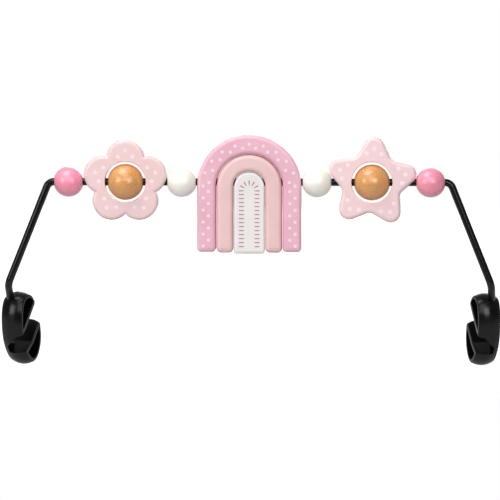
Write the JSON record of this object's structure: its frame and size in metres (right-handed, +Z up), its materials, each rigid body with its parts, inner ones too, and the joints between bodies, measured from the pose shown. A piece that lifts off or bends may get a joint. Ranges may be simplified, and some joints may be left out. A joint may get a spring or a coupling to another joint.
{
  "type": "bouncer toy bar",
  "caption": "Bent black steel bar on hook clips, with painted wooden beads, a flower, a star and a nested rainbow that spin on it over a bouncer seat.",
  "frame": {"origin": "halfway between the middles of the two clip seats, where the bar hangs on the seat's side tubes", "axes": "+X along the straight rod from the flower's side to the star's, +Y away from the viewer, +Z up"},
  "size_m": [0.5339, 0.079, 0.2491],
  "materials": {
    "black_steel": "smooth gloss black paint",
    "black_plastic": "moulded, semi-gloss black",
    "pink_paint": "turned wood, glossy candy-pink lacquer",
    "rose_paint": "wood, satin rose paint with pale dots",
    "pale_paint": "wood, satin pale pink paint with faint dots",
    "white_paint": "wood, satin white paint with short pink dashes",
    "warm_white_paint": "turned wood, satin ivory lacquer",
    "oiled_beech": "turned beech, clear gloss finish"
  },
  "bodies": {
    "bar": {"bar_rod": "black_steel", "left_clip": "black_plastic", "right_clip": "black_plastic"},
    "left_pink_bead": {"left_pink_bead": "pink_paint"},
    "left_white_bead": {"left_white_bead": "warm_white_paint"},
    "right_white_bead": {"right_white_bead": "warm_white_paint"},
    "right_pink_bead": {"right_pink_bead": "pink_paint"},
    "flower_frame": {"flower_frame": "pale_paint"},
    "flower_ball": {"flower_ball": "oiled_beech"},
    "star_frame": {"star_frame": "pale_paint"},
    "star_ball": {"star_ball": "oiled_beech"},
    "rainbow_outer_arch": {"rainbow_outer_arch": "rose_paint"},
    "rainbow_middle_arch": {"rainbow_middle_arch": "pale_paint"},
    "rainbow_inner_arch": {"rainbow_inner_arch": "white_paint"}
  },
  "joints": [
    {"name": "left_pink_bead_spin", "type": "hinge", "parent": "bar", "child": "left_pink_bead", "pos_m": [-0.19395, -0.02808, 0.16602], "axis": [1, 0, 0], "continuous": true},
    {"name": "flower_frame_spin", "type": "hinge", "parent": "bar", "child": "flower_frame", "pos_m": [-0.1332, -0.02808, 0.16602], "axis": [1, 0, 0], "continuous": true},
    {"name": "flower_ball_spin", "type": "hinge", "parent": "bar", "child": "flower_ball", "pos_m": [-0.1332, -0.02808, 0.16602], "axis": [1, 0, 0], "continuous": true},
    {"name": "left_white_bead_spin", "type": "hinge", "parent": "bar", "child": "left_white_bead", "pos_m": [-0.07337, -0.02808, 0.16602], "axis": [1, 0, 0], "continuous": true},
    {"name": "rainbow_outer_arch_spin", "type": "hinge", "parent": "bar", "child": "rainbow_outer_arch", "pos_m": [-0.00137, -0.02808, 0.16602], "axis": [1, 0, 0], "continuous": true},
    {"name": "right_white_bead_spin", "type": "hinge", "parent": "bar", "child": "right_white_bead", "pos_m": [0.07063, -0.02808, 0.16602], "axis": [1, 0, 0], "continuous": true},
    {"name": "star_frame_spin", "type": "hinge", "parent": "bar", "child": "star_frame", "pos_m": [0.12904, -0.02808, 0.16602], "axis": [1, 0, 0], "continuous": true},
    {"name": "star_ball_spin", "type": "hinge", "parent": "bar", "child": "star_ball", "pos_m": [0.12904, -0.02808, 0.16602], "axis": [1, 0, 0], "continuous": true},
    {"name": "right_pink_bead_spin", "type": "hinge", "parent": "bar", "child": "right_pink_bead", "pos_m": [0.19139, -0.02808, 0.16602], "axis": [1, 0, 0], "continuous": true},
    {"name": "rainbow_middle_arch_swing", "type": "hinge", "parent": "rainbow_outer_arch", "child": "rainbow_middle_arch", "pos_m": [-0.00137, -0.02808, 0.16602], "axis": [1, 0, 0], "range_deg": [-55, 55]},
    {"name": "rainbow_inner_arch_swing", "type": "hinge", "parent": "rainbow_middle_arch", "child": "rainbow_inner_arch", "pos_m": [-0.00137, -0.02808, 0.16602], "axis": [1, 0, 0], "range_deg": [-15, 15]}
  ]
}
